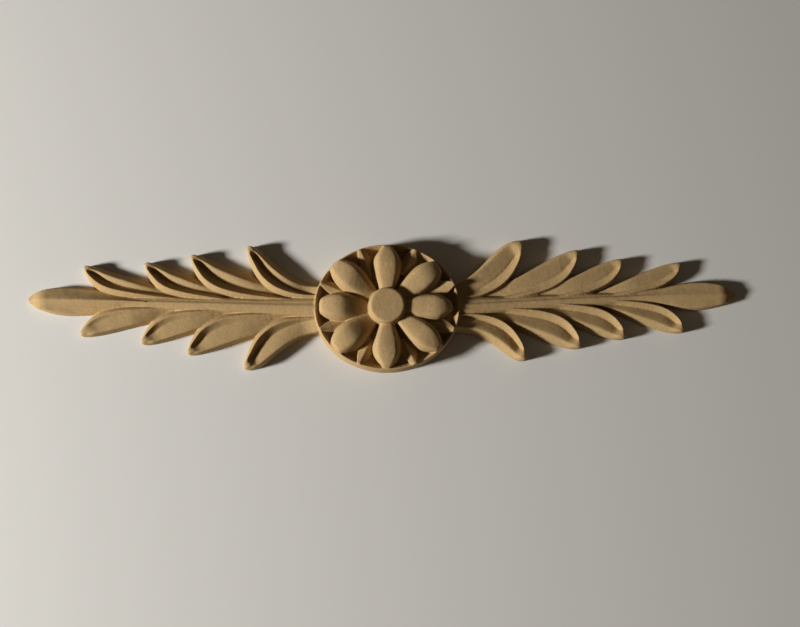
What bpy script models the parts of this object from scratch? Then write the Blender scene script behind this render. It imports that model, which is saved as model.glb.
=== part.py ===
"""Frieze moulding: one casting of an oval rosette between two leaf sprays.

Frame: +X along the moulding to the right, +Y across it, +Z out of the flat back,
with the origin in the middle of the back. Lengths below are in millimetres and become
metres where a vertex is placed.
"""

import math

import bmesh
import bpy

MM = 0.001
NAME = "frieze_moulding"

# The whole piece
HALF_LENGTH = 100.0
BACK_ALLOWANCE = 1.0  # every shape starts this far under the back, which is then cut flat
BACK_SLAB = (220.0, 73.0, 5.0)  # what cuts it: longer, wider and thicker than all it cuts
BACK_STRIPS = 55
WELD = 0.004  # points closer than this are one
CROWDING_TO_TIP = 1.7  # over 1 sets the sections of a leaf or petal closer towards its tip

# The oval dish of the rosette
DISH_HALF_LENGTH = 20.9
DISH_HALF_WIDTH = 18.2
RIM_HEIGHT = 5.5
RIM_CREST = 0.35  # width of the flat on top of the rim
RIM_DRAFT = 0.45  # how far the outer wall leans in on its way up
RIM_INNER_SLOPE = 1.1
RECESS_HEIGHT = 3.5
DISH_SEGMENTS = 72

# The round button in the middle
BUTTON_TOP_RADIUS = 4.75
BUTTON_FOOT_RADIUS = 5.9
BUTTON_HEIGHT = 9.0
BUTTON_EDGE = 0.35
BUTTON_SEGMENTS = 32
SHAPE_ROOT = 1.2  # how far the flower's shapes reach down into the dish

# Eight petals, set closer to the long axis than an even eighth of a turn.
# Each was cut by hand to its own reach, counted from the right-hand one to the left.
PETAL_REACHES = (18.5, 18.8, 17.9, 19.5, 19.6, 19.1, 17.7, 19.4)
PETAL_CROWDING = 0.795
PETAL_START = 3.6
PETAL_ROOT_HALF_WIDTH = 1.1
PETAL_HALF_WIDTH = 4.1
PETAL_TIP_HALF_WIDTH = 0.55
PETAL_WIDEST = 0.58
PETAL_FULLNESS = 0.66  # under 1 fills the petal out towards its tip
PETAL_HEIGHT = 8.3
PETAL_TIP_HEIGHT = 6.0
PETAL_ROOT_HEIGHT = 6.8
PETAL_DRAFT = 0.65
PETAL_DRAFT_SHARE = 0.5  # and at most this share of the half-width
PETAL_CROWN = 1.1  # how far the sides of the top lie under its middle
PETAL_CROWN_PLACES = ((0.5, 0.2), (1.0, 1.0))
PETAL_STATIONS = 10

# Eight small sepals between the petals
SEPAL_START = 9.0
SEPAL_HALF_WIDTH = 2.9
SEPAL_TIP_HALF_WIDTH = 0.15
SEPAL_HEIGHT = 4.2  # it climbs from here to the rim
SEPAL_TIP_HEIGHT = 5.95
SEPAL_FULLNESS = 0.55
SEPAL_EAVES_DROP = 0.4
SEPAL_EAVES_PLACE = 0.8
SEPAL_STATIONS = 4

# Each spray: four pairs of leaves, from the rosette outwards. A leaf lies between its front
# edge, which faces the end of the spray, and its back edge, which faces the rosette.
LEAF_TIP_PLACES = {-1: (39.9, 55.5, 68.3, 85.2), 1: (39.4, 54.9, 67.6, 84.5)}
# How far each leaf reaches from the stem, by spray (-1 left) and row (-1 lower)
LEAF_REACHES = {
    (-1, 1): (16.9, 14.0, 11.4, 10.0),
    (-1, -1): (17.6, 14.2, 11.6, 9.8),
    (1, 1): (17.9, 14.5, 11.3, 9.7),
    (1, -1): (16.1, 13.7, 11.7, 10.5),
}
LEAF_FRONT_ROOTS = ((19.8, 1.8), (28.0, 0.0), (43.0, 0.0), (60.0, 0.0))
LEAF_BACK_ROOTS = (18.4, 24.0, 40.0, 58.0)
LEAF_BACK_ROOT_HEIGHTS = {-1: (7.0, 5.0, 3.2, 4.0), 1: (7.0, 2.0, 1.5, 1.0)}
LEAF_FRONT_RUN = (10.0, 0.2)  # short of the tip, and out from the stem
LEAF_FRONT_TURN = 0.9
LEAF_FRONT_TURN_HEIGHTS = (0.0, 0.2, 0.14, 0.14)  # as shares of the reach
LEAF_BACK_CLIMB = (14.0, 0.64)  # short of the tip, and the share of the reach climbed there
LEAF_BACK_BOW = (4.5, 1.0)  # short of the tip, and beyond it
FIRST_LEAF_FRONT = (2.2, 0.8)
FIRST_LEAF_BACKS = {  # waist beside the rosette, and bow before the tip
    (-1, 1): ((10.0, 7.3), (5.4, 2.2)),
    (-1, -1): ((10.9, 8.0), (5.6, 2.7)),
    (1, 1): ((12.0, 9.0), (7.3, 3.2)),
    (1, -1): ((9.1, 6.9), (5.3, 1.5)),
}
LEAF_LIP_HEIGHTS = (5.0, 4.6, 4.3, 4.0)
LEAF_ROOT_SHARES = (1.0, 0.76, 0.76, 0.76)  # height at the root, as a share of the lip
LEAF_TIP_SHARE = 0.8
LEAF_FULL_HEIGHT = 0.4  # share of the length over which a leaf climbs from its root
LEAF_LAST_STATION = 0.9
LEAF_TIP_ROUNDING = ((0.62, 0.4, 0.85), (0.0, 0.65, 0.0))  # width, place and height after it
LEAF_STATIONS = 10

# The section of a leaf, from the front edge to the back edge
LEAF_FOOT = 0.2  # run of the upright foot of the front wall, at most half the lip's
LEAF_FOOT_SHARE = 0.45  # height of that foot, as a share of the lip
LIP_RUN = 1.45  # from the front edge to the crest of the lip
LIP_RUN_SHARE = 0.3
BACK_RUN = 2.0
BACK_RUN_SHARE = 0.32
HOLLOW_DEPTH = 1.6
HOLLOW_FADE = 0.25  # share of the length over which it fades at either end
SCOOP_PLACE = 0.4  # the steep upper part of the scoop: how far across, and how deep
SCOOP_SHARE = 0.62
CREASE_PLACE = 0.52  # across the top, from the lip to the back crest
CREASE_STEP = 0.35  # as a share of the depth
CREASE_STEP_RUN = 0.06

# The leaf at the end of a spray
END_LEAF_ROOT = 67.0
END_LEAF_WIDEST = 88.5
END_LEAF_HALF_WIDTH = 4.1
END_LEAF_ROOT_HALF_WIDTH = 1.0
END_LEAF_SWELLS = {-1: 0.6, 1: 1.2}  # under 1 fills out the neck
END_LEAF_TIP_HALF_WIDTH = 0.35
END_LEAF_FULLNESS = 0.62
END_LEAF_RIDGE_HEIGHT = 3.7
END_LEAF_TOP_HEIGHT = 2.9
END_LEAF_EDGE_HEIGHT = 2.7
END_LEAF_FOOT_HEIGHT = 1.6
END_LEAF_DRAFT = 0.75
END_LEAF_DRAFT_SHARE = 0.33  # and at most this share of the half-width
END_LEAF_HOLLOW_PLACE = 0.42
END_LEAF_FOOT_PLACE = 0.8
END_LEAF_TIP_SHARE = 0.55
END_LEAF_TIP_FALL = 0.13  # share of the length over which the tip falls
END_LEAF_STATIONS = 13

# The stem under the leaves: place along it, half-width and height of its rib
STEM_SIZES = ((19.6, 3.1, 5.2), (32.0, 2.4, 4.6), (60.0, 1.9, 3.9), (76.0, 1.3, 3.35))
STEM_SECTION = ((0.22, 0.45), (0.58, 0.55), (0.86, 1.2))  # places out from the rib, and drops
STEM_STATIONS = 4  # between two sizes

# How each stem drifts off the long axis: at the rosette, further on to the end, and its bend
STEM_BOW = {-1: (-0.1, 2.0, 1.2), 1: (0.3, 4.1, 1.5)}


def smoothstep(share):
    share = min(1.0, max(0.0, share))
    return share * share * (3 - 2 * share)


def mix(a, b, share):
    return a + (b - a) * share


def bezier(points, t):
    """A point on the Bezier curve of these control points."""
    points = [tuple(p) for p in points]
    while len(points) > 1:
        points = [tuple(mix(a, b, t) for a, b in zip(p, q)) for p, q in zip(points, points[1:])]
    return points[0]


def stations(count):
    """Shares from 0 to 1, closer together towards 1."""
    return [1 - (1 - i / count) ** CROWDING_TO_TIP for i in range(count + 1)]


def stem_line(x, side):
    """How far the middle of a stem lies from the long axis."""
    start, rise, bend = STEM_BOW[side]
    along = min(1.0, max(0.0, (x - DISH_HALF_LENGTH) / (HALF_LENGTH - DISH_HALF_LENGTH)))
    return start + rise * (1 - (1 - along) ** bend)


def clear_scene():
    for obj in list(bpy.data.objects):
        bpy.data.objects.remove(obj, do_unlink=True)


def cast_foam():
    material = bpy.data.materials.new("cast_foam")
    material.use_nodes = True
    shader = material.node_tree.nodes["Principled BSDF"]
    shader.inputs["Base Color"].default_value = (0.58, 0.39, 0.21, 1)
    shader.inputs["Roughness"].default_value = 0.85
    shader.inputs["Metallic"].default_value = 0.0
    return material


def new_object(name, bm, collection):
    """Closes a bmesh, turns its faces out and makes it an object."""
    bmesh.ops.remove_doubles(bm, verts=bm.verts, dist=WELD * MM)
    bmesh.ops.dissolve_degenerate(bm, edges=bm.edges, dist=WELD * MM)
    bmesh.ops.recalc_face_normals(bm, faces=bm.faces)
    mesh = bpy.data.meshes.new(name)
    bm.to_mesh(mesh)
    bm.free()
    obj = bpy.data.objects.new(name, mesh)
    collection.objects.link(obj)
    return obj


def solid_from_rows(name, rows, collection):
    """Skins rows of points into a sheet, and carries the sheet's edge down past the back."""
    across, along = len(rows[0]) - 1, len(rows) - 1
    bm = bmesh.new()
    bmesh.ops.create_grid(bm, x_segments=across, y_segments=along, size=1)
    order = sorted(bm.verts, key=lambda v: (round(v.co.y, 4), round(v.co.x, 4)))
    places = [point for row in rows for point in row]
    for vertex, place in zip(order, places):
        vertex.co = [c * MM for c in place]
    rim = [edge for edge in bm.edges if edge.is_boundary]
    made = bmesh.ops.extrude_edge_only(bm, edges=rim)["geom"]
    for vertex in made:
        if isinstance(vertex, bmesh.types.BMVert):
            vertex.co.z = -BACK_ALLOWANCE * MM
    bmesh.ops.remove_doubles(bm, verts=bm.verts, dist=WELD * MM)
    bmesh.ops.holes_fill(bm, edges=[e for e in bm.edges if e.is_boundary], sides=0)
    return new_object(name, bm, collection)


def leaf_edges(side, half, pair):
    """Control points of the front and back edges, from root to tip, beside a straight stem."""
    reach = LEAF_REACHES[side, half][pair]
    x = LEAF_TIP_PLACES[side][pair]
    tip = (x, reach)
    if pair == 0:
        waist, bow = FIRST_LEAF_BACKS[side, half]
        front = [(x - FIRST_LEAF_FRONT[0], FIRST_LEAF_FRONT[1])]
        back = [(x - waist[0], waist[1]), (x - bow[0], reach + bow[1])]
    else:
        turn = (x - LEAF_FRONT_TURN, LEAF_FRONT_TURN_HEIGHTS[pair] * reach)
        front = [(x - LEAF_FRONT_RUN[0], LEAF_FRONT_RUN[1]), turn]
        climb = (x - LEAF_BACK_CLIMB[0], LEAF_BACK_CLIMB[1] * reach)
        back = [climb, (x - LEAF_BACK_BOW[0], reach + LEAF_BACK_BOW[1])]
    root = (LEAF_BACK_ROOTS[pair], LEAF_BACK_ROOT_HEIGHTS[side][pair])
    return [LEAF_FRONT_ROOTS[pair], *front, tip], [root, *back, tip]


def leaf_section(width, lip, hollow):
    """Distances from the front edge, with heights: foot, lip, scoop, crease, step, back."""
    crest = min(LIP_RUN, LIP_RUN_SHARE * width)
    back = width - min(BACK_RUN, BACK_RUN_SHARE * width)
    crease = mix(crest, back, CREASE_PLACE)
    return (
        (0.0, 0.0),
        (min(LEAF_FOOT, crest / 2), lip * LEAF_FOOT_SHARE),
        (crest, lip),
        (mix(crest, crease, SCOOP_PLACE), lip - hollow * SCOOP_SHARE),
        (crease, lip - hollow),
        (crease + CREASE_STEP_RUN * width, lip - hollow * (1 - CREASE_STEP)),
        (back, lip - hollow * (1 - CREASE_STEP)),
        (width, 0.0),
    )


def leaf_row(a, b, lip, hollow):
    """One section of a leaf, from its front edge at a to its back edge at b."""
    width = math.dist(a, b)
    row = []
    for distance, z in leaf_section(width, lip, hollow):
        share = distance / width
        row.append((mix(a[0], b[0], share), mix(a[1], b[1], share), z))
    return row


def add_leaf(side, half, pair, collection):
    """One scooped leaf. Side is -1 for the left spray, and half is -1 for the lower row."""
    front, back = leaf_edges(side, half, pair)
    rows = []
    for t in stations(LEAF_STATIONS):
        t *= LEAF_LAST_STATION
        a, b = bezier(front, t), bezier(back, t)
        swell = mix(LEAF_ROOT_SHARES[pair], 1.0, smoothstep(t / LEAF_FULL_HEIGHT))
        lip = LEAF_LIP_HEIGHTS[pair] * swell * mix(1.0, LEAF_TIP_SHARE, t)
        hollow = HOLLOW_DEPTH * smoothstep(t / HOLLOW_FADE) * smoothstep((1 - t) / HOLLOW_FADE)
        rows.append(leaf_row(a, b, lip, hollow))
    middle = [mix(a[i], b[i], 0.5) for i in (0, 1)]
    for narrow, push, low in LEAF_TIP_ROUNDING:
        centre = [mix(middle[i], front[-1][i], push) for i in (0, 1)]
        if not narrow:
            rows.append([(centre[0], centre[1], 0.0)] * len(rows[0]))
            break
        ends = [[centre[i] + narrow * (end[i] - middle[i]) for i in (0, 1)] for end in (a, b)]
        rows.append(leaf_row(*ends, lip * low, hollow * low))
    placed = [[(side * x, half * y + stem_line(x, side), z) for x, y, z in row] for row in rows]
    label = f"leaf_{'left' if side < 0 else 'right'}_{'lower' if half < 0 else 'upper'}_{pair + 1}"
    return solid_from_rows(label, placed, collection)


def add_end_leaf(side, collection):
    """The leaf that ends a spray, with a low rib down its hollowed top."""
    rows = []
    for t in stations(END_LEAF_STATIONS):
        x = mix(END_LEAF_ROOT, HALF_LENGTH, t)
        if x < END_LEAF_WIDEST:
            along = (x - END_LEAF_ROOT) / (END_LEAF_WIDEST - END_LEAF_ROOT)
            swell = smoothstep(along) ** END_LEAF_SWELLS[side]
            half_width = mix(END_LEAF_ROOT_HALF_WIDTH, END_LEAF_HALF_WIDTH, swell)
        else:
            left = (HALF_LENGTH - x) / (HALF_LENGTH - END_LEAF_WIDEST)
            fullness = math.sin(math.pi / 2 * left) ** END_LEAF_FULLNESS
            half_width = mix(END_LEAF_TIP_HALF_WIDTH, END_LEAF_HALF_WIDTH, fullness)
        end = mix(END_LEAF_TIP_SHARE, 1.0, smoothstep((1 - t) / END_LEAF_TIP_FALL))
        edge = half_width - min(END_LEAF_DRAFT, END_LEAF_DRAFT_SHARE * half_width)
        upper = (
            (0.0, END_LEAF_RIDGE_HEIGHT * end),
            (edge * END_LEAF_HOLLOW_PLACE, END_LEAF_TOP_HEIGHT * end),
            (edge, END_LEAF_EDGE_HEIGHT * end),
            (mix(edge, half_width, END_LEAF_FOOT_PLACE), END_LEAF_FOOT_HEIGHT * end),
            (half_width, 0.0),
        )
        section = [(-y, z) for y, z in reversed(upper)] + list(upper[1:])
        rows.append([(side * x, y + stem_line(x, side), z) for y, z in section])
    return solid_from_rows(f"end_leaf_{'left' if side < 0 else 'right'}", rows, collection)


def add_stem(side, collection):
    """The tapering stem that the leaves grow from, with a fine rib along its top."""
    sizes = []
    for near, far in zip(STEM_SIZES, STEM_SIZES[1:]):
        for i in range(STEM_STATIONS):
            sizes.append([mix(a, b, i / STEM_STATIONS) for a, b in zip(near, far)])
    sizes.append(STEM_SIZES[-1])
    rows = []
    for x, half_width, height in sizes:
        upper = [(0.0, height)]
        upper += [(half_width * place, height - drop) for place, drop in STEM_SECTION]
        upper.append((half_width, 0.0))
        section = [(-y, z) for y, z in reversed(upper)] + upper[1:]
        rows.append([(side * x, y + stem_line(x, side), z) for y, z in section])
    return solid_from_rows(f"stem_{'left' if side < 0 else 'right'}", rows, collection)


def turned(name, profile, segments, collection, width_share=1.0):
    """Spins a profile of (radius, height) points about Z, and narrows it across if asked."""
    bm = bmesh.new()
    verts = [bm.verts.new((r * MM, 0, z * MM)) for r, z in profile]
    edges = [bm.edges.new(pair) for pair in zip(verts, verts[1:])]
    bmesh.ops.spin(
        bm, geom=verts + edges, cent=(0, 0, 0), axis=(0, 0, 1), angle=2 * math.pi,
        steps=segments, use_merge=True,
    )
    bmesh.ops.scale(bm, vec=(1, width_share, 1), verts=bm.verts)
    return new_object(name, bm, collection)


def add_dish(collection):
    outer = DISH_HALF_LENGTH
    crest = outer - RIM_DRAFT
    profile = (
        (0.0, RECESS_HEIGHT),
        (crest - RIM_CREST - RIM_INNER_SLOPE, RECESS_HEIGHT),
        (crest - RIM_CREST, RIM_HEIGHT),
        (crest, RIM_HEIGHT),
        (outer, 0.0),
        (outer, -BACK_ALLOWANCE),
        (0.0, -BACK_ALLOWANCE),
    )
    narrow = DISH_HALF_WIDTH / DISH_HALF_LENGTH
    return turned("dish", profile, DISH_SEGMENTS, collection, narrow)


def add_button(collection):
    profile = (
        (0.0, BUTTON_HEIGHT),
        (BUTTON_TOP_RADIUS - BUTTON_EDGE, BUTTON_HEIGHT),
        (BUTTON_TOP_RADIUS, BUTTON_HEIGHT - BUTTON_EDGE),
        (BUTTON_FOOT_RADIUS, RECESS_HEIGHT - SHAPE_ROOT),
        (0.0, RECESS_HEIGHT - SHAPE_ROOT),
    )
    return turned("button", profile, BUTTON_SEGMENTS, collection)


def petal_angle(index):
    """Petal directions, crowded towards the long axis as on the oval dish."""
    even = 2 * math.pi * index / len(PETAL_REACHES)
    return math.atan2(PETAL_CROWDING * math.sin(even), math.cos(even))


def outward(angle, along, across, height):
    return (
        along * math.cos(angle) - across * math.sin(angle),
        along * math.sin(angle) + across * math.cos(angle),
        height,
    )


def add_petal(index, collection):
    """A blunt, pointed oval with steep sides and a faintly crowned top."""
    angle = petal_angle(index)
    floor = RECESS_HEIGHT - SHAPE_ROOT
    rows = []
    for t in stations(PETAL_STATIONS):
        if t < PETAL_WIDEST:
            swell = math.sin(math.pi / 2 * t / PETAL_WIDEST)
            half_width = mix(PETAL_ROOT_HALF_WIDTH, PETAL_HALF_WIDTH, swell)
            top = mix(PETAL_ROOT_HEIGHT, PETAL_HEIGHT, swell)
        else:
            left = math.sin(math.pi / 2 * (1 - t) / (1 - PETAL_WIDEST))
            half_width = mix(PETAL_TIP_HALF_WIDTH, PETAL_HALF_WIDTH, left ** PETAL_FULLNESS)
            top = mix(PETAL_TIP_HEIGHT, PETAL_HEIGHT, left)
        edge = half_width - min(PETAL_DRAFT, PETAL_DRAFT_SHARE * half_width)
        crown = PETAL_CROWN * half_width / PETAL_HALF_WIDTH
        upper = [(0.0, top)]
        upper += [(edge * place, top - crown * drop) for place, drop in PETAL_CROWN_PLACES]
        upper.append((half_width, floor))
        section = [(-y, z) for y, z in reversed(upper)] + upper[1:]
        along = mix(PETAL_START, PETAL_REACHES[index], t)
        rows.append([outward(angle, along, y, z) for y, z in section])
    return solid_from_rows(f"petal_{index + 1}", rows, collection)


def add_sepal(index, collection):
    """A small gabled leaf between two petals, its point on the rim."""
    first, second = petal_angle(index), petal_angle(index + 1)
    if second < first:
        second += 2 * math.pi
    angle = (first + second) / 2
    crest = DISH_HALF_LENGTH - RIM_DRAFT - RIM_CREST / 2
    across = crest * DISH_HALF_WIDTH / DISH_HALF_LENGTH
    reach = 1 / math.hypot(math.cos(angle) / crest, math.sin(angle) / across)
    floor = RECESS_HEIGHT - SHAPE_ROOT
    rows = []
    for i in range(SEPAL_STATIONS + 1):
        t = i / SEPAL_STATIONS
        half_width = mix(SEPAL_TIP_HALF_WIDTH, SEPAL_HALF_WIDTH, (1 - t) ** SEPAL_FULLNESS)
        ridge = mix(SEPAL_HEIGHT, SEPAL_TIP_HEIGHT, t)
        eaves = ridge - SEPAL_EAVES_DROP * (1 - t)
        section = (
            (-half_width, floor),
            (-half_width * SEPAL_EAVES_PLACE, eaves),
            (0.0, ridge),
            (half_width * SEPAL_EAVES_PLACE, eaves),
            (half_width, floor),
        )
        along = mix(SEPAL_START, reach, t)
        rows.append([outward(angle, along, y, z) for y, z in section])
    return solid_from_rows(f"sepal_{index + 1}", rows, collection)


def add_back_cutter(collection):
    """A slab under the piece, its top the plane of the back, in strips that keep faces small."""
    bpy.ops.mesh.primitive_grid_add(x_subdivisions=BACK_STRIPS, y_subdivisions=1, size=MM)
    slab = bpy.context.object
    slab.name = "back_cutter"
    slab.scale = (BACK_SLAB[0], BACK_SLAB[1], 1.0)
    bpy.ops.object.transform_apply(location=False, rotation=False, scale=True)
    thicken = slab.modifiers.new("thicken", "SOLIDIFY")
    thicken.thickness = BACK_SLAB[2] * MM
    thicken.offset = -1
    for owner in list(slab.users_collection):
        owner.objects.unlink(slab)
    collection.objects.link(slab)
    return slab


def main():
    clear_scene()
    scene = bpy.context.scene
    moulding = bpy.data.collections.new(NAME)
    joined = bpy.data.collections.new("joined_shapes")
    cutters = bpy.data.collections.new("cutters")
    for collection in (moulding, joined, cutters):
        scene.collection.children.link(collection)

    body = add_dish(moulding)
    body.name = NAME
    body.data.materials.append(cast_foam())

    add_button(joined)
    for index in range(len(PETAL_REACHES)):
        add_petal(index, joined)
        add_sepal(index, joined)
    for side in (-1, 1):
        add_stem(side, joined)
        add_end_leaf(side, joined)
        for half in (-1, 1):
            for pair in range(len(LEAF_LIP_HEIGHTS)):
                add_leaf(side, half, pair, joined)
    slab = add_back_cutter(cutters)
    for helper in (*joined.objects, slab):
        helper.hide_render = True
        helper.display_type = "WIRE"

    union = body.modifiers.new("fuse", "BOOLEAN")
    union.operation = "UNION"
    union.operand_type = "COLLECTION"
    union.collection = joined
    union.solver = "EXACT"
    cut = body.modifiers.new("flat_back", "BOOLEAN")
    cut.operation = "DIFFERENCE"
    cut.object = slab
    cut.solver = "EXACT"


main()
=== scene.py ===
# %% [markdown]
# # A foam frieze moulding, from rails to casting
# The object is a small appliqué for a frieze or a chimneypiece: an oval rosette between two
# leaf sprays, cast in one piece of tan rigid foam and left unpainted. It lies flat on its back.
# In this lesson its shapes are drawn and skinned one by one, fused as the mould fuses them, and
# given the dry, fine-grained surface of cast foam.
#
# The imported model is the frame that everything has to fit, so it is loaded first and measured.

# %% Load the frame
import math

import bmesh
import bpy
from mathutils import Matrix, Vector


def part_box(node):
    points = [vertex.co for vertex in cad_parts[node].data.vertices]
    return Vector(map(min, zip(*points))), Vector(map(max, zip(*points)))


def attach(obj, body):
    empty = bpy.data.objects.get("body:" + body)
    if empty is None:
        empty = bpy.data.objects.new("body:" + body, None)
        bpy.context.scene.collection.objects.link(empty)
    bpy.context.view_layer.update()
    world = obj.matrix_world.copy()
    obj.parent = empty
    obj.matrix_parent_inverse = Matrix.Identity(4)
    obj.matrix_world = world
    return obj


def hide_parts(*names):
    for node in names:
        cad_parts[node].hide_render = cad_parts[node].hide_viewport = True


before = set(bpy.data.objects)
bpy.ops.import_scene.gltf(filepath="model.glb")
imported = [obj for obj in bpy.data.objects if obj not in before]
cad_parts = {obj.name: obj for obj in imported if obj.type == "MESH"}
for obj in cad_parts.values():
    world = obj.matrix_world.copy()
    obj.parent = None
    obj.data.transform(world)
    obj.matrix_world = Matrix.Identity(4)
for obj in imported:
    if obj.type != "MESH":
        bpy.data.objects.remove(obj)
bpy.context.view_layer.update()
node_low, node_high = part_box("frieze_moulding")
print("the casting measures", [round(c * 1000, 1) for c in node_high - node_low], "mm")

# %% [markdown]
# ## Where the eye stands
# The piece is looked at from almost straight above, a little from the side of its lower leaves,
# at about a quarter of a metre. The camera is set before any modelling, so that each shape can
# be judged from there. Lengths are given in millimetres, because the carving is that fine.

# %% Camera
MM = 0.001
EYE = (-5.19, -38.13, 252.84)
LOOKED_AT = (3.74, -1.17, 0.0)

camera_data = bpy.data.cameras.new("eye")
camera_data.sensor_width = 36.0
camera_data.lens = 40.5
camera_data.clip_start = 0.01
camera = bpy.data.objects.new("eye", camera_data)
bpy.context.scene.collection.objects.link(camera)
bpy.context.scene.camera = camera

backward = (Vector(EYE) - Vector(LOOKED_AT)).normalized()
rightward = Vector((0, 1, 0)).cross(backward).normalized()
upward = backward.cross(rightward)
turn = Matrix((rightward, upward, backward)).transposed().to_4x4()
camera.matrix_world = Matrix.Translation(Vector(EYE) * MM) @ turn
print("the eye is", round((Vector(EYE) - Vector(LOOKED_AT)).length), "mm away")

# %% [markdown]
# ## Working by hand, in code
# An operator acts on whatever is selected, so each step starts with nothing selected and picks
# its points by where they are. Small helpers do that. `start_clean` leaves edit mode and
# deselects everything, and `edit` enters it with nothing picked. `pick` and `pick_faces` select
# the points or the faces that pass a test. `apply_modifier` adds a modifier and applies it.

# %% Helpers for selecting
def start_clean():
    if bpy.context.mode != "OBJECT":
        bpy.ops.object.mode_set(mode="OBJECT")
    bpy.ops.object.select_all(action="DESELECT")


def edit(piece):
    start_clean()
    piece.select_set(True)
    bpy.context.view_layer.objects.active = piece
    bpy.ops.object.mode_set(mode="EDIT")
    bpy.ops.mesh.select_mode(type="VERT")
    bpy.ops.mesh.select_all(action="DESELECT")


def pick(piece, test):
    """Selects the points of the piece in edit mode that pass the test, and what they bound."""
    bpy.ops.mesh.select_all(action="DESELECT")
    points = bmesh.from_edit_mesh(piece.data)
    for vertex in points.verts:
        vertex.select_set(test(vertex))
    points.select_flush(True)
    bmesh.update_edit_mesh(piece.data)


def pick_faces(piece, test):
    """Selects the faces that pass. A face that fails is left alone, because to deselect it
    would also deselect the corners that it shares with one already picked."""
    bpy.ops.mesh.select_all(action="DESELECT")
    shape = bmesh.from_edit_mesh(piece.data)
    for face in shape.faces:
        if test(face):
            face.select_set(True)
    bmesh.update_edit_mesh(piece.data)


def apply_modifier(piece, kind, **settings):
    start_clean()
    piece.select_set(True)
    bpy.context.view_layer.objects.active = piece
    modifier = piece.modifiers.new(kind.lower(), kind)
    for name, value in settings.items():
        setattr(modifier, name, value)
    bpy.ops.object.modifier_apply(modifier=modifier.name)


# %% [markdown]
# ## Rails
# A carver lays a leaf out as lines: its edge, the crest of its lip, the bottom of its hollow.
# The same is done here. Each line is a rail, a curve drawn through a few points, and the rails
# are bridged one to the next into a skin. That keeps every crest and crease where it was drawn,
# which sculpting or a smooth surface would not. The open skin is then pulled down past the back
# and closed, so that each shape is a solid.

# %% Rails into a solid
BELOW_BACK = -1.0  # shapes start this far under the flat back, which is cut at the end
RAIL_STEPS = 3  # straight pieces between two drawn points of a rail
MERGE_WITHIN = 0.002


def draw_rails(name, rails):
    """One curve object with a smooth line through the points of each rail, as a mesh."""
    start_clean()
    bpy.ops.curve.primitive_bezier_curve_add(location=(0, 0, 0))
    piece = bpy.context.object
    piece.name = name
    lines = piece.data
    lines.splines.clear()
    lines.resolution_u = RAIL_STEPS
    for rail in rails:
        line = lines.splines.new("BEZIER")
        line.bezier_points.add(len(rail) - 1)
        for knot, place in zip(line.bezier_points, rail):
            knot.co = Vector(place) * MM
            knot.handle_left_type = knot.handle_right_type = "AUTO"
    bpy.ops.object.convert(target="MESH")
    return bpy.context.object


def close_below(piece, floor):
    """Pulls the edge of an open skin straight down to the floor and closes it there."""
    bpy.ops.mesh.select_all(action="DESELECT")
    bpy.ops.mesh.select_mode(type="EDGE")
    bpy.ops.mesh.select_non_manifold(extend=False)
    bpy.ops.mesh.extrude_region_move()
    bpy.ops.transform.resize(value=(1, 1, 0), center_override=(0, 0, floor * MM))
    bpy.ops.mesh.edge_face_add()
    bpy.ops.mesh.select_all(action="SELECT")
    bpy.ops.mesh.remove_doubles(threshold=MERGE_WITHIN * MM)
    bpy.ops.mesh.normals_make_consistent(inside=False)


def skin(name, sections, floor=BELOW_BACK):
    """A solid through sections that all have the same number of points."""
    rails = list(zip(*sections))
    piece = draw_rails(name, rails)
    edit(piece)
    count = len(piece.data.vertices) // len(rails)
    for first in range(len(rails) - 1):
        low, high = first * count, (first + 2) * count
        pick(piece, lambda vertex: low <= vertex.index < high)
        bpy.ops.mesh.bridge_edge_loops()
    close_below(piece, floor)
    start_clean()
    return piece


shapes = []

# %% [markdown]
# ## The oval dish
# The rosette sits in a shallow oval dish with a thin raised rim. It starts as a cylinder,
# squeezed to an oval. Its top face is drawn in a little for the lean of the wall that lets it
# leave the mould, inset for the crest of the rim, and inset again and sunk for the recess.

# %% Dish
DISH_HALF_LENGTH = 20.9
DISH_HALF_WIDTH = 18.2
RIM_HEIGHT = 5.5
RIM_LEAN = 0.7
RIM_CREST = 0.34
RIM_INNER_SLOPE = 1.15
RECESS_HEIGHT = 3.1

start_clean()
bpy.ops.mesh.primitive_cylinder_add(
    vertices=180, radius=DISH_HALF_LENGTH * MM, depth=(RIM_HEIGHT - BELOW_BACK) * MM,
    location=(0, 0, (RIM_HEIGHT + BELOW_BACK) / 2 * MM),
)
dish = bpy.context.object
dish.name = "dish"
bpy.ops.object.transform_apply(location=True, rotation=False, scale=False)
edit(dish)
bpy.ops.mesh.select_all(action="SELECT")
bpy.ops.transform.resize(value=(1, DISH_HALF_WIDTH / DISH_HALF_LENGTH, 1))
pick_faces(dish, lambda face: face.normal.z > 0.9)
lean = 1 - RIM_LEAN / DISH_HALF_LENGTH
bpy.ops.transform.resize(value=(lean, lean, 1), center_override=(0, 0, RIM_HEIGHT * MM))
bpy.ops.mesh.inset(thickness=RIM_CREST * MM)
bpy.ops.mesh.inset(thickness=RIM_INNER_SLOPE * MM)
bpy.ops.transform.translate(value=(0, 0, (RECESS_HEIGHT - RIM_HEIGHT) * MM))
start_clean()
shapes.append(dish)
print("dish:", len(dish.data.polygons), "faces")

# %% [markdown]
# ## The button
# The flower's heart is a plain round button, the highest point of the piece. It is a cylinder
# with a wider foot and a softened edge, and its top swells a little.

# %% Button
BUTTON_TOP_RADIUS = 4.75
BUTTON_FOOT_RADIUS = 5.9
BUTTON_HEIGHT = 8.92
BUTTON_EDGE = 0.5
BUTTON_TOP_INSET = 1.6
BUTTON_SWELL = 0.02
FLOWER_FLOOR = 2.2  # the flower's shapes reach down into the dish

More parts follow.
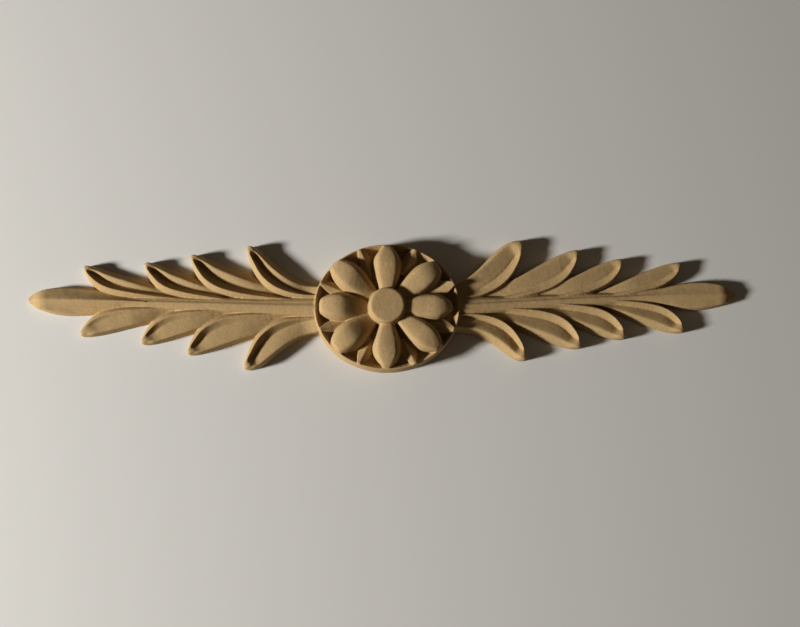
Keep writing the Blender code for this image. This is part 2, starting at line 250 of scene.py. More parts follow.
start_clean()
bpy.ops.mesh.primitive_cone_add(
    vertices=64, radius1=BUTTON_FOOT_RADIUS * MM, radius2=BUTTON_TOP_RADIUS * MM,
    depth=(BUTTON_HEIGHT - FLOWER_FLOOR) * MM,
    location=(0, 0, (BUTTON_HEIGHT + FLOWER_FLOOR) / 2 * MM),
)
button = bpy.context.object
button.name = "button"
bpy.ops.object.transform_apply(location=True, rotation=False, scale=False)
edit(button)
pick_faces(button, lambda face: face.normal.z > 0.9)
bpy.ops.mesh.bevel(offset=BUTTON_EDGE * MM, segments=3, affect="EDGES")
pick_faces(button, lambda face: face.normal.z > 0.99)
bpy.ops.mesh.inset(thickness=BUTTON_TOP_INSET * MM)
bpy.ops.transform.translate(value=(0, 0, BUTTON_SWELL * MM))
start_clean()
shapes.append(button)
print("button:", len(button.data.polygons), "faces")

# %% [markdown]
# ## The petals
# Eight petals lie round the button like smooth pebbles: narrow and low at the root, widest and
# highest at about three fifths, with steep sides and a domed top. Some end blunt and some in a
# point, so two are skinned, from sections at right angles to their middle line. The eight are
# copies of these, each stretched to its own reach and turned to its place. Their roots are then
# raised or sunk one by one, because the real ones were cut by hand and differ.

# %% Curves that shape a section
def mix(a, b, share):
    return a + (b - a) * share


def smoothstep(share):
    share = min(1.0, max(0.0, share))
    return share * share * (3 - 2 * share)


def stations(count, crowding=1.7):
    """Shares from 0 to 1, closer together towards 1."""
    return [1 - (1 - i / count) ** crowding for i in range(count + 1)]


# %% One petal
PETAL_START = 3.6
PETAL_REACH = 19.0
PETAL_ROOT_HALF_WIDTH = 1.8
PETAL_HALF_WIDTH = 4.15
PETAL_WIDEST = 0.61
PETAL_HIGHEST = 0.62
PETAL_ROOT_HEIGHT = 6.0
PETAL_HEIGHT = 8.4
PETAL_TIP_HEIGHT = 6.7
PETAL_CROWN = 1.3
PETAL_SWELLING = 1.25
PETAL_ROOT_FALL = 1.3
PETAL_SECTIONS = 10
PETAL_TIP_DROP = 2.4  # over the last fifth of the way down to the tip
# places out from the middle line as shares of the half-width, and drops as shares of the crown
PETAL_DOME = ((0.0, 0.0), (0.3, 0.04), (0.52, 0.14), (0.66, 0.36), (0.77, 0.85), (0.87, 1.65))
PETAL_WALL = ((0.93, 2.3), (0.97, 3.0))
# half-width right at the tip, and how fast the outline closes in on it
PETAL_TIPS = {"blunt": (0.8, 0.55), "pointed": (0.45, 0.95)}


def petal_section(share, kind):
    """Points across the petal at this share of its length, from one side to the other."""
    if share < PETAL_WIDEST:
        swell = math.sin(math.pi / 2 * share / PETAL_WIDEST)
        half_width = mix(PETAL_ROOT_HALF_WIDTH, PETAL_HALF_WIDTH, swell ** PETAL_SWELLING)
    else:
        left = math.sin(math.pi / 2 * (1 - share) / (1 - PETAL_WIDEST))
        tip_half_width, closing = PETAL_TIPS[kind]
        half_width = mix(tip_half_width, PETAL_HALF_WIDTH, left ** closing)
    fall = 1 - share / PETAL_HIGHEST
    if fall > 0:
        top = mix(PETAL_HEIGHT, PETAL_ROOT_HEIGHT, fall ** PETAL_ROOT_FALL)
    else:
        fall = (share - PETAL_HIGHEST) / (1 - PETAL_HIGHEST)
        top = mix(PETAL_HEIGHT, PETAL_TIP_HEIGHT, fall ** 2) - PETAL_TIP_DROP * smoothstep(fall * 5 - 4)
    crown = PETAL_CROWN * half_width / PETAL_HALF_WIDTH
    side = [(half_width * out, top - crown * drop) for out, drop in PETAL_DOME + PETAL_WALL]
    side.append((half_width, FLOWER_FLOOR))
    along = mix(PETAL_START, PETAL_REACH, share)
    whole = [(-y, z) for y, z in reversed(side)] + side[1:]
    return [(along, y, z) for y, z in whole]


petals = {}
for kind in PETAL_TIPS:
    sections = [petal_section(t, kind) for t in stations(PETAL_SECTIONS)]
    petals[kind] = skin(f"{kind}_petal", sections, FLOWER_FLOOR)
    print(kind, "petal:", len(petals[kind].data.polygons), "faces")


# %% Copies of one shape, each with its own mesh
PETAL_REACHES = (18.7, 18.8, 17.6, 19.5, 19.3, 19.1, 17.5, 19.4)
# how far the root of each is raised or sunk against the skinned one
PETAL_ROOT_SHIFTS = (1.0, 0.3, 0.2, -1.3, -1.4, -1.2, 0.2, 0.3)
POINTED_PETALS = (0, 2, 6, 7)
PETAL_ROOT_ZONE = 1.35  # round the button, as a multiple of where the petals start
PETAL_ROOT_SPREAD = 9.0  # how far out a raised or sunk root carries the petal with it
PETAL_CROWDING = 0.795  # the petals stand closer to the long axis of the oval


def petal_angle(index):
    even = 2 * math.pi * index / len(PETAL_REACHES)
    return math.atan2(PETAL_CROWDING * math.sin(even), math.cos(even))


def turned_copy(original, name, angle, stretch=1.0, widen=1.0, start=0.0):
    """A copy stretched outwards from its start and turned about the middle of the rosette."""
    start_clean()
    original.select_set(True)
    bpy.context.view_layer.objects.active = original
    bpy.ops.object.duplicate()
    copy = bpy.context.object
    copy.name = name
    edit(copy)
    bpy.ops.mesh.select_all(action="SELECT")
    bpy.ops.transform.resize(value=(stretch, widen, 1), center_override=(start * MM, 0, 0))
    # With no window, the operator turns the other way.
    bpy.ops.transform.rotate(value=-angle, orient_axis="Z", center_override=(0, 0, 0))
    start_clean()
    return copy


root_zone = PETAL_ROOT_ZONE * PETAL_START * MM
for index, reach in enumerate(PETAL_REACHES):
    stretch = (reach - PETAL_START) / (PETAL_REACH - PETAL_START)
    petal = petals["pointed" if index in POINTED_PETALS else "blunt"]
    copy = turned_copy(petal, f"petal_{index + 1}", petal_angle(index), stretch, start=PETAL_START)
    edit(copy)
    pick(copy, lambda point: math.hypot(point.co.x, point.co.y) < root_zone)
    bpy.ops.transform.translate(
        value=(0, 0, PETAL_ROOT_SHIFTS[index] * MM), use_proportional_edit=True,
        proportional_edit_falloff="SMOOTH", proportional_size=PETAL_ROOT_SPREAD * MM,
    )
    start_clean()
    shapes.append(copy)
for petal in petals.values():
    bpy.data.objects.remove(petal)
print("petals:", len(PETAL_REACHES), "copies round the button")

# %% [markdown]
# ## The sepals
# Between two petals a small gabled leaf climbs from the bottom of the dish to the rim. The
# carver made them quickly, so they are plain: a ridge, two slopes and a steep edge. One is
# skinned and copied to the eight gaps, stretched to where the rim lies in each direction.
# Those on the right stand a little higher and are wider.

# %% Sepals
SEPAL_START = 10.0
SEPAL_HALF_WIDTH = 2.9
SEPAL_TIP_HALF_WIDTH = 0.5
SEPAL_ROOT_HEIGHT = 3.8
SEPAL_TIP_HEIGHT = 5.9
SEPAL_REACH = 18.0
SEPAL_GABLE = 1.5  # from ridge to eaves at the root; at the rim the two meet
SEPAL_TAPER = 0.55
SEPAL_SECTIONS = 4
# how much each stands up over the skinned one, and how much wider it is
SEPAL_LIFTS = (0.7, 0.7, 0.2, 0.0, 0.0, 0.2, 0.7, 0.7)
SEPAL_WIDTHS = (1.3, 1.1, 1.0, 1.0, 1.0, 1.0, 1.1, 1.3)


def sepal_section(share):
    half_width = mix(SEPAL_TIP_HALF_WIDTH, SEPAL_HALF_WIDTH, (1 - share) ** SEPAL_TAPER)
    ridge = mix(SEPAL_ROOT_HEIGHT, SEPAL_TIP_HEIGHT, share)
    eaves = ridge - SEPAL_GABLE * (1 - share ** 2)
    side = [
        (0.0, ridge),
        (half_width * 0.8, eaves),
        (half_width * 0.92, eaves - 0.5),
        (half_width, FLOWER_FLOOR),
    ]
    along = mix(SEPAL_START, SEPAL_REACH, share)
    whole = [(-y, z) for y, z in reversed(side)] + side[1:]
    return [(along, y, z) for y, z in whole]


sections = [sepal_section(i / SEPAL_SECTIONS) for i in range(SEPAL_SECTIONS + 1)]
sepal = skin("sepal", sections, FLOWER_FLOOR)
rim_length = DISH_HALF_LENGTH - RIM_LEAN - RIM_CREST / 2
rim_width = rim_length * DISH_HALF_WIDTH / DISH_HALF_LENGTH
for index in range(len(PETAL_REACHES)):
    first, second = petal_angle(index), petal_angle(index + 1)
    if second < first:
        second += 2 * math.pi
    middle = (first + second) / 2
    reach = 1 / math.hypot(math.cos(middle) / rim_length, math.sin(middle) / rim_width)
    stretch = (reach - SEPAL_START) / (SEPAL_REACH - SEPAL_START)
    name, widen = f"sepal_{index + 1}", SEPAL_WIDTHS[index]
    copy = turned_copy(sepal, name, middle, stretch, widen, SEPAL_START)
    edit(copy)
    bpy.ops.mesh.select_all(action="SELECT")
    bpy.ops.transform.translate(value=(0, 0, SEPAL_LIFTS[index] * MM))
    start_clean()
    shapes.append(copy)
bpy.data.objects.remove(sepal)
print("sepals: one in each of", len(PETAL_REACHES), "gaps")

# %% [markdown]
# ## The stems
# Each spray hangs on one stem that leaves the rosette under the rim, bows slightly off the
# axis and thins towards its end. Along its top runs a fine rib with a groove on either side,
# where the roots of the leaves were cut up to it. Only the lower side of the left stem has no
# groove and slopes evenly.

# %% Stems
HALF_LENGTH = 100.0
STEM_BOW = {-1: (-0.1, 2.0, 1.2), 1: (0.3, 4.1, 1.5)}
STEM_SIZES = ((19.6, 3.1, 5.45), (32.0, 2.4, 4.75), (60.0, 1.9, 3.9), (76.0, 1.3, 3.35))
# out from the rib as shares of the half-width, and millimetres under its crest
GROOVED = ((0.1, 0.08), (0.3, 0.46), (0.48, 0.48), (0.68, 0.85), (0.88, 1.5), (0.96, 2.4))
SLOPED = ((0.1, 0.03), (0.3, 0.18), (0.48, 0.35), (0.68, 0.6), (0.88, 1.1), (0.96, 2.2))
STEM_STEPS = 4  # sections between two of the sizes
STEM_SIDES = {(-1, 1): GROOVED, (-1, -1): SLOPED, (1, 1): GROOVED, (1, -1): GROOVED}


def stem_line(x, side):
    """How far the middle of a stem lies from the long axis."""
    start, rise, bend = STEM_BOW[side]
    along = min(1.0, max(0.0, (x - DISH_HALF_LENGTH) / (HALF_LENGTH - DISH_HALF_LENGTH)))
    return start + rise * (1 - (1 - along) ** bend)


def stem_section(side, x, half_width, height):
    upper, lower = [
        [(half * half_width * out, height - drop) for out, drop in STEM_SIDES[side, half]]
        + [(half * half_width, 0.0)]
        for half in (1, -1)
    ]
    whole = lower[::-1] + [(0.0, height)] + upper
    return [(side * x, y + stem_line(x, side), z) for y, z in whole]


for side, label in ((-1, "left"), (1, "right")):
    sections = []
    for near, far in zip(STEM_SIZES, STEM_SIZES[1:]):
        for i in range(STEM_STEPS):
            sizes = [mix(a, b, i / STEM_STEPS) for a, b in zip(near, far)]
            sections.append(stem_section(side, *sizes))
    sections.append(stem_section(side, *STEM_SIZES[-1]))
    shapes.append(skin(f"stem_{label}", sections))
print("stems: left and right,", len(sections), "sections each")

# %% [markdown]
# ## The leaves
# Four pairs of leaves leave each stem. A leaf is a blunt blade, and the carver scooped it: a
# rounded lip along its front edge, a steep slope into the hollow, a sharp crease at its foot,
# and a flatter floor that rises to the back edge and falls away. Every rail of that section
# runs from the stem to the tip. The tips reach different distances, so each leaf has its own
# reach and each pair its own place along the stem, and the outline follows from them. The four
# rows were scooped differently: the upper left deep, with a ridge behind the hollow, the lower
# left in a narrow slit, the upper right shallow, and the lower right with a broad bevel along
# the back. So each row has its own depths and its own shape of hollow.

# %% Outline of a leaf
LEAF_TIP_PLACES = {-1: (39.9, 55.5, 68.3, 85.2), 1: (39.4, 54.9, 67.6, 84.5)}
LEAF_REACHES = {
    (-1, 1): (16.9, 14.0, 11.4, 10.0),
    (-1, -1): (17.6, 14.2, 11.6, 9.8),
    (1, 1): (17.9, 14.5, 11.3, 9.7),
    (1, -1): (16.1, 13.7, 11.7, 10.5),
}
FRONT_ROOTS = ((19.8, 1.8), (21.5, 0.9), (37.0, 0.3), (54.0, 0.3))
BACK_ROOTS = (18.4, 24.0, 40.0, 58.0)
BACK_ROOT_HEIGHTS = {-1: (7.0, 5.0, 3.2, 4.0), 1: (7.0, 2.0, 1.5, 1.0)}
FRONT_RUN = (10.0, 0.2)  # short of the tip, and out from the stem
FRONT_TURN = 0.9
FRONT_TURN_HEIGHTS = (0.0, 0.2, 0.14, 0.14)  # as shares of the reach
BACK_CLIMB = (14.0, 0.64)  # short of the tip, and the share of the reach climbed there
BACK_BOW = (4.5, 1.0)  # short of the tip, and beyond it
# The first leaf of each row bends round the rosette, and each of the four does it differently
FIRST_FRONT = (2.2, 0.8)
FIRST_BACKS = {
    (-1, 1): ((10.0, 7.3), (5.4, 2.2)),
    (-1, -1): ((10.9, 8.0), (5.6, 2.7)),
    (1, 1): ((12.0, 9.0), (7.3, 3.2)),
    (1, -1): ((9.1, 6.9), (5.3, 1.5)),
}


def bezier(points, t):
    """The point at t on the curve that these control points pull."""
    while len(points) > 1:
        points = [tuple(mix(a, b, t) for a, b in zip(p, q)) for p, q in zip(points, points[1:])]
    return points[0]


def leaf_edges(side, half, pair):
    """Control points of the front and back edge, from root to tip, beside a straight stem."""
    reach = LEAF_REACHES[side, half][pair]
    x = LEAF_TIP_PLACES[side][pair]
    tip = (x, reach)
    if pair == 0:
        waist, bow = FIRST_BACKS[side, half]
        front = [(x - FIRST_FRONT[0], FIRST_FRONT[1])]
        back = [(x - waist[0], waist[1]), (x - bow[0], reach + bow[1])]
    else:
        turn = (x - FRONT_TURN, FRONT_TURN_HEIGHTS[pair] * reach)
        front = [(x - FRONT_RUN[0], FRONT_RUN[1]), turn]
        climb = (x - BACK_CLIMB[0], BACK_CLIMB[1] * reach)
        back = [climb, (x - BACK_BOW[0], reach + BACK_BOW[1])]
    root = (BACK_ROOTS[pair], BACK_ROOT_HEIGHTS[side][pair])
    return [FRONT_ROOTS[pair], *front, tip], [root, *back, tip]


# %% Section of a leaf
LIP_HEIGHTS = (5.0, 4.7, 4.4, 4.1)
# how high a leaf stands at its root, where it dips into the stem
ROOT_SHARES = {
    (-1, 1): (1.0, 0.8, 0.78, 0.76),
    (-1, -1): (0.94, 0.68, 0.62, 0.52),
    (1, 1): (0.94, 0.7, 0.66, 0.62),
    (1, -1): (1.0, 0.8, 0.78, 0.76),
}
HOLLOW_DEPTHS = {
    (-1, 1): (2.1, 2.3, 2.1, 1.7),
    (-1, -1): (1.8, 1.4, 1.1, 0.8),
    (1, 1): (1.6, 1.2, 1.0, 0.8),
    (1, -1): (2.0, 1.9, 1.7, 1.6),
}
# millimetres from front edge to crest, the crease as a share of the way from there to the
# ridge, the ridge as a share of the width, and how much of the depth the ridge wins back
HOLLOW_SHAPES = {
    (-1, 1): (1.6, 0.5, 0.72, 0.6),
    (-1, -1): (1.6, 0.3, 0.93, 0.6),
    (1, 1): (0.8, 0.34, 0.9, 0.45),
    (1, -1): (0.8, 0.36, 0.76, 0.5),
}
# the place along a leaf at which each scoop has run out before the tip
HOLLOW_ENDS = {
    (-1, 1): (0.88, 0.87, 0.87, 0.87),
    (-1, -1): (0.88, 0.86, 0.84, 0.78),
    (1, 1): (0.87, 0.87, 0.87, 0.87),
    (1, -1): (0.87, 0.87, 0.87, 0.87),
}
TIP_DOME = 0.75  # from here on the tip turns into a plain dome
DOME_SQUARENESS = 5.5  # the higher, the flatter the dome and the steeper its sides
LIP_NARROWING = 0.16  # per millimetre of width: under 6.25 mm the lip narrows with the leaf
# the sharp foot of the hollow in millimetres, and the most it takes of the way to the ridge
CREASE_FOOT, CREASE_SHARE = 0.35, 0.25


def leaf_profile(row, width, lip, hollow, spread, climb, dome):
    """Distances from the front edge with heights, over the lip and the hollow to the back."""
    crest, place, share, rise = HOLLOW_SHAPES[row]
    crest *= min(1.0, LIP_NARROWING * width)
    ridge = share * width
    crease = mix(crest, ridge, place * spread)
    step = min(CREASE_FOOT, CREASE_SHARE * (ridge - crease))
    top = lip - (1 - rise * climb) * hollow
    points = [
        (0.0, 0.0),
        (0.06 * crest, 0.28 * lip),
        (0.2 * crest, 0.52 * lip),
        (0.45 * crest, 0.74 * lip),
        (0.72 * crest, 0.9 * lip),
        (crest, lip),
        (mix(crest, crease, 0.12), lip - 0.08 * hollow),
        (mix(crest, crease, 0.35), lip - 0.38 * hollow),
        (mix(crest, crease, 0.65), lip - 0.74 * hollow),
        (mix(crest, crease, 0.9), lip - 0.95 * hollow),
        (crease, lip - hollow),
        (crease + step, lip - 0.88 * hollow),
        (mix(crease, ridge, 0.6), mix(lip - 0.82 * hollow, top, 0.6)),
        (mix(crease, ridge, 0.93), top),
        (mix(ridge, width, 0.12), top - 0.15),
        (mix(ridge, width, 0.5), 0.6 * top),
        (mix(ridge, width, 0.9), 0.26 * top),
        (width, 0.0),
    ]
    rounded = [lip * (1 - abs(2 * d / width - 1) ** DOME_SQUARENESS) for d, _ in points]
    return [(d, mix(z, high, dome)) for (d, z), high in zip(points, rounded)]


def across(a, b, profile):
    """A profile laid out between two points of the plan."""
    width = math.dist(a, b)
    return [(mix(a[0], b[0], d / width), mix(a[1], b[1], d / width), z) for d, z in profile]


# %% Leaves
# A place along a leaf is a step along its curves, from 0 at the root to 1 at the tip. It isn't a
# share of the length: the first half of the steps covers more than half of the leaf.
LEAF_SECTIONS = 12
LAST_STATION = 0.87
ROOT_RISE = 0.35  # at this place a leaf has climbed out of the stem
LIP_AT_TIP = 0.8  # share of its height that the lip would keep if it ran on to the tip
SCOOP_FROM, SCOOP_OVER, SCOOP_FADE = -0.1, 0.25, 0.17
NARROWEST, NARROWING = 0.5, 0.2  # how far the hollow closes up, and over how much at its end
RIDGE_FROM, RIDGE_OVER = 0.1, 0.4  # the ridge climbs like this on the left; on the right it's full
EVEN_FROM, EVEN_OVER = 0.4, 0.5  # from here, and over this much, the edges come to the same pace
# places past the last station, and the share of its lip's height that is left there
TIP_FALL = ((0.89, 0.98), (0.91, 0.95), (0.93, 0.89), (0.95, 0.78), (0.97, 0.55))


def pace(points):
    """How fast a curve moves as it arrives at its last point."""
    return (len(points) - 1) * math.dist(points[-1], points[-2])


def edge_pair(front, back, t):
    """A point on each edge. Near the tip both are about as far from it, so sections stay square."""
    slower = mix(1.0, pace(back) / pace(front), smoothstep((t - EVEN_FROM) / EVEN_OVER))
    return bezier(front, 1 - (1 - t) * slower), bezier(back, t)


def leaf_sections(side, half, pair):
    front, back = leaf_edges(side, half, pair)
    row = (side, half)
    sections = []
    for t in stations(LEAF_SECTIONS):
        t *= LAST_STATION
        a, b = edge_pair(front, back, t)
        lip = LIP_HEIGHTS[pair] * mix(ROOT_SHARES[row][pair], 1.0, smoothstep(t / ROOT_RISE))
        lip *= mix(1.0, LIP_AT_TIP, t)
        left = HOLLOW_ENDS[row][pair] - t
        scoop = smoothstep((t - SCOOP_FROM) / SCOOP_OVER) * smoothstep(left / SCOOP_FADE)
        spread = mix(NARROWEST, 1.0, smoothstep(t / ROOT_RISE) * smoothstep(left / NARROWING))
        climb = smoothstep((t - RIDGE_FROM) / RIDGE_OVER) if side < 0 else 1.0
        dome = smoothstep((t - TIP_DOME) / (LAST_STATION - TIP_DOME))
        shape = (HOLLOW_DEPTHS[row][pair] * scoop, spread, climb, dome)
        sections.append(across(a, b, leaf_profile(row, math.dist(a, b), lip, *shape)))
    for t, low in TIP_FALL:
        a, b = edge_pair(front, back, t)
        sections.append(across(a, b, leaf_profile(row, math.dist(a, b), lip * low, *shape)))
    return [
        [(side * x, half * y + stem_line(x, side), z) for x, y, z in section]
        for section in sections
    ]


for side, half in LEAF_REACHES:
    for pair in range(4):
        name = f"leaf_{'left' if side < 0 else 'right'}_{'lower' if half < 0 else 'upper'}_{pair + 1}"
        shapes.append(skin(name, leaf_sections(side, half, pair)))
print("leaves:", sum(shape.name.startswith("leaf") for shape in shapes))

# %% [markdown]
# ## The end leaves
# A spray ends in one leaf that lies straight on the stem: a long neck, an oval blade and a
# point. It is hollowed very slightly on both sides of a low rib.

# %% End leaves
END_ROOT = 67.0
END_WIDEST = 88.5
END_HALF_WIDTH = 4.1
END_ROOT_HALF_WIDTH = 1.0
END_TIP_HALF_WIDTH = 0.35
END_SWELLS = {-1: 0.6, 1: 1.2}
END_RIDGES = {-1: 4.0, 1: 3.6}
END_EAVES = {-1: 1.7, 1: 2.8}  # the right one was pared nearly flat
END_FULLNESS = 0.56
END_SECTIONS = 13
# height left at the very tip, and the share of the length over which it falls to that
END_TIP_HEIGHT, END_TIP_FALL = 0.5, 0.13
# eaves at the very tip as a share of the rib, and the share over which the gable flattens to that
END_TIP_EAVES, END_FLATTENING = 0.85, 0.5
# out from the rib as shares of the half-width, and falls as shares of the way to the eaves
END_SIDE = ((0.0, 0.0), (0.07, 0.05), (0.3, 0.38), (0.55, 0.7), (0.76, 0.9), (0.86, 1.0))
END_WALL = ((0.93, 0.7), (0.97, 0.45), (1.0, 0.0))  # and heights of the wall as shares of the eaves


def end_leaf_section(side, share):
    x = mix(END_ROOT, HALF_LENGTH, share)
    if x < END_WIDEST:
        along = (x - END_ROOT) / (END_WIDEST - END_ROOT)
        swell = smoothstep(along) ** END_SWELLS[side]
        half_width = mix(END_ROOT_HALF_WIDTH, END_HALF_WIDTH, swell)
    else:
        left = (HALF_LENGTH - x) / (HALF_LENGTH - END_WIDEST)
        fullness = math.sin(math.pi / 2 * left) ** END_FULLNESS
        half_width = mix(END_TIP_HALF_WIDTH, END_HALF_WIDTH, fullness)
    low = mix(END_TIP_HEIGHT, 1.0, smoothstep((1 - share) / END_TIP_FALL))
    ridge = END_RIDGES[side] * low
    gable = smoothstep((1 - share) / END_FLATTENING)
    eaves = mix(END_TIP_EAVES * ridge, END_EAVES[side] * low, gable)
    half = [(half_width * out, mix(ridge, eaves, fall)) for out, fall in END_SIDE]
    half += [(half_width * out, eaves * height) for out, height in END_WALL]
    whole = [(-y, z) for y, z in reversed(half)] + half[1:]
    return [(side * x, y + stem_line(x, side), z) for y, z in whole]


for side, label in ((-1, "left"), (1, "right")):
    sections = [end_leaf_section(side, t) for t in stations(END_SECTIONS)]
    shapes.append(skin(f"end_leaf_{label}", sections))
print("end leaves: 2")

# %% [markdown]
# ## Fused as in the mould
# In the real piece all this is one body of foam. The shapes are united by booleans first, which
# leaves one closed skin with no walls inside it. That skin is remeshed on a fine grid of voxels,
# which softens every edge as casting does. A little smoothing takes most of the grid's steps
# away.

# %% Join and remesh
VOXEL = 0.15
SMOOTH_SHARE, SMOOTH_ROUNDS = 0.5, 6

casting = dish
casting.name = "frieze_casting"
for shape in shapes:
    if shape is not dish:
        apply_modifier(casting, "BOOLEAN", operation="UNION", object=shape, solver="MANIFOLD")
        bpy.data.objects.remove(shape)
print("after the union:", len(casting.data.vertices), "points")
apply_modifier(casting, "REMESH", mode="VOXEL", voxel_size=VOXEL * MM, adaptivity=0.0)
print("after the remesh:", len(casting.data.vertices), "points")
apply_modifier(casting, "SMOOTH", factor=SMOOTH_SHARE, iterations=SMOOTH_ROUNDS)

# %% [markdown]
# ## A hand-cut surface
# The pattern was carved, so no face is quite even. Two soft noises, a broad one and a fine one,
# move the surface by up to a tenth of a millimetre. Finer marks come later, with the material.

# %% Unevenness
CUTS = ((5.0, 0.13), (0.9, 0.07))  # size of the unevenness, and from its lowest to its highest


def displace(piece, size, strength):
    """Moves the surface along its normals, in and out, by a cloudy noise of this size."""
    texture = bpy.data.textures.new(f"clouds_{size}", "CLOUDS")
    texture.noise_scale = size * MM
    apply_modifier(
        piece, "DISPLACE", texture=texture, texture_coords="LOCAL", strength=strength * MM,
        mid_level=0.5,
    )


for size, strength in CUTS:
    displace(casting, size, strength)
print("unevenness:", len(CUTS), "noises")

# %% [markdown]
# ## The flat back
# The back was sanded flat, to be glued to a frieze. A block that holds all that hangs under that
# plane is taken away from the casting. A boolean does it, because it closes the cut with clean
# faces, so the mesh stays one closed skin. Then the mesh is thinned where it is flat, which
# keeps it light enough to handle.

# %% Cut the back and thin the mesh
MOST_TRIANGLES = 190000
BLOCK = 300.0  # wider than the casting is long
SHARP_ANGLE = 50.0  # an edge that turns by more than this is shaded sharp

start_clean()
bpy.ops.mesh.primitive_cube_add(size=BLOCK * MM, location=(0, 0, -BLOCK / 2 * MM))
block = bpy.context.object
apply_modifier(casting, "BOOLEAN", operation="DIFFERENCE", object=block, solver="MANIFOLD")
bpy.data.objects.remove(block)
casting.data.calc_loop_triangles()
triangles = len(casting.data.loop_triangles)
print("before thinning:", triangles, "triangles")
apply_modifier(casting, "DECIMATE", ratio=min(1.0, MOST_TRIANGLES / triangles))
casting.data.calc_loop_triangles()
print("after thinning:", len(casting.data.loop_triangles), "triangles")
start_clean()
casting.select_set(True)
bpy.context.view_layer.objects.active = casting
bpy.ops.object.shade_smooth_by_angle(angle=math.radians(SHARP_ANGLE))
low = [min(v.co[i] for v in casting.data.vertices) for i in range(3)]
high = [max(v.co[i] for v in casting.data.vertices) for i in range(3)]
print("casting, mm:", [round((b - a) * 1000, 2) for a, b in zip(low, high)])

# %% [markdown]
# ## Cast foam
# The stuff is rigid polyurethane foam, cast in a mould and left bare. It is opaque, pale tan
# and quite matt. Its skin shows a fine grain and here and there an open bubble, and the colour
# wanders a little from place to place. The single bubbles are left out here. Colours are given
# as sRGB hex values and turned to linear light by one function; one more adds a node with its
# settings and links.

# %% Helpers for materials
def colour(hex_value):
    """sRGB hex to the linear RGBA that shaders use."""
    channels = [int(hex_value[i:i + 2], 16) / 255 for i in (1, 3, 5)]
    linear = [c / 12.92 if c <= 0.04045 else ((c + 0.055) / 1.055) ** 2.4 for c in channels]
    return (*linear, 1.0)


def add_node(material, kind, links=None, inputs=None, **settings):
    """Adds a node with its settings, the values of its inputs, and the links that feed inputs."""
    tree = material.node_tree
    node = tree.nodes.new(kind)
    for name, value in settings.items():
        setattr(node, name, value)
    for name, value in (inputs or {}).items():
        node.inputs[name].default_value = value
    for name, source in (links or {}).items():
        tree.links.new(source, node.inputs[name])
    return node


# %% Cast foam material
WANDER_PER_METRE = 90.0  # patches of colour of about 11 mm
# The cells of such foam are finer than this, and wouldn't show, so they are drawn at 0.4 mm.
GRAIN_PER_METRE = 2600.0
GRAIN_RELIEF = 0.12
COLOUR_A, COLOUR_B = 6, 7  # a Mix node has several inputs called A and B; these take the colours
MIXED_COLOUR = 2

foam = bpy.data.materials.new("bare_cast_polyurethane_foam")
foam.use_nodes = True
shader = foam.node_tree.nodes["Principled BSDF"]
# Bare foam has an open, powdery skin: it is rough, and shines little even at a low angle.
shader.inputs["Roughness"].default_value = 0.85
shader.inputs["Specular IOR Level"].default_value = 0.2
shader.inputs["IOR"].default_value = 1.5
place = add_node(foam, "ShaderNodeTexCoord").outputs["Object"]
wander = add_node(
    foam, "ShaderNodeTexNoise", {"Vector": place},
    inputs={"Scale": WANDER_PER_METRE, "Detail": 4.0, "Roughness": 0.6},
)
grain = add_node(
    foam, "ShaderNodeTexNoise", {"Vector": place},
    inputs={"Scale": GRAIN_PER_METRE, "Detail": 3.0, "Roughness": 0.7},
)
broad = add_node(
    foam, "ShaderNodeMix", {"Factor": wander.outputs["Fac"]},
    inputs={COLOUR_A: colour("#BE9F71"), COLOUR_B: colour("#AF9060")}, data_type="RGBA",
)
speckle = add_node(
    foam, "ShaderNodeMapRange", {"Value": grain.outputs["Fac"]},
    inputs={"From Min": 0.35, "From Max": 0.62, "To Min": 0.78, "To Max": 1.04},
)
tone = add_node(
    foam, "ShaderNodeVectorMath",
    {"Vector": broad.outputs[MIXED_COLOUR], "Scale": speckle.outputs["Result"]},
    operation="SCALE",
)
roughen = add_node(
    foam, "ShaderNodeBump", {"Height": grain.outputs["Fac"]},
    inputs={"Strength": 0.35, "Distance": GRAIN_RELIEF * MM},
)
foam.node_tree.links.new(tone.outputs["Vector"], shader.inputs["Base Color"])
foam.node_tree.links.new(roughen.outputs["Normal"], shader.inputs["Normal"])
casting.data.materials.clear()
casting.data.materials.append(foam)
print("material:", foam.name)

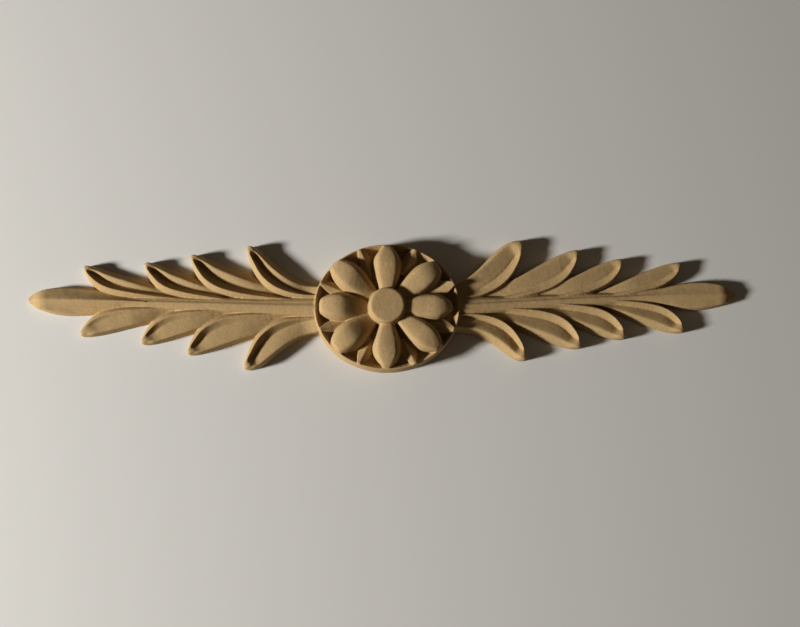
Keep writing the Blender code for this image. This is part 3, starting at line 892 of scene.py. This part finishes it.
# %% [markdown]
# ## Floor and light
# A plain pale floor lies just under the back. One small lamp stands low on the left, as in a
# studio that wants to show relief, so each lip throws a shadow to the right. Its disk is wide
# enough to soften the edge of a shadow. The world gives a weak even light that keeps the
# hollows readable.

# %% Floor
FLOOR_SIZE = 3000.0
FLOOR_GAP = 0.02  # so that the floor and the back don't share a plane

start_clean()
bpy.ops.mesh.primitive_plane_add(size=FLOOR_SIZE * MM, location=(0, 0, -FLOOR_GAP * MM))
floor = bpy.context.object
floor.name = "floor"
paper = bpy.data.materials.new("matt_white_paper")
paper.use_nodes = True
paper_shader = paper.node_tree.nodes["Principled BSDF"]
paper_shader.inputs["Base Color"].default_value = colour("#DAD7D0")
paper_shader.inputs["Roughness"].default_value = 0.9
floor.data.materials.append(paper)

# %% Light
LAMP_AZIMUTH = 193.0
LAMP_ELEVATION = 23.0
LAMP_DISTANCE = 800.0
LAMP_SIZE = 120.0
LAMP_WATTS = 9.8
WORLD_STRENGTH = 0.06

azimuth, elevation = math.radians(LAMP_AZIMUTH), math.radians(LAMP_ELEVATION)
toward_lamp = Vector((
    math.cos(azimuth) * math.cos(elevation),
    math.sin(azimuth) * math.cos(elevation),
    math.sin(elevation),
))
lamp_data = bpy.data.lights.new("low_softbox", "AREA")
lamp_data.shape = "DISK"
lamp_data.size = LAMP_SIZE * MM
lamp_data.energy = LAMP_WATTS
lamp = bpy.data.objects.new("low_softbox", lamp_data)
lamp.location = toward_lamp * (LAMP_DISTANCE * MM)
lamp.rotation_euler = toward_lamp.to_track_quat("Z", "Y").to_euler()
bpy.context.scene.collection.objects.link(lamp)
world = bpy.data.worlds.new("studio")
world.use_nodes = True
background = world.node_tree.nodes["Background"]
background.inputs["Color"].default_value = colour("#E2CDB4")
background.inputs["Strength"].default_value = WORLD_STRENGTH
bpy.context.scene.world = world
bpy.context.scene.view_settings.view_transform = "Standard"

# %% [markdown]
# ## Handing over
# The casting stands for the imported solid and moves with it. Both boxes are written down, to
# show that the looks keep the size.

# %% Finish
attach(casting, "root")
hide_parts("frieze_moulding")
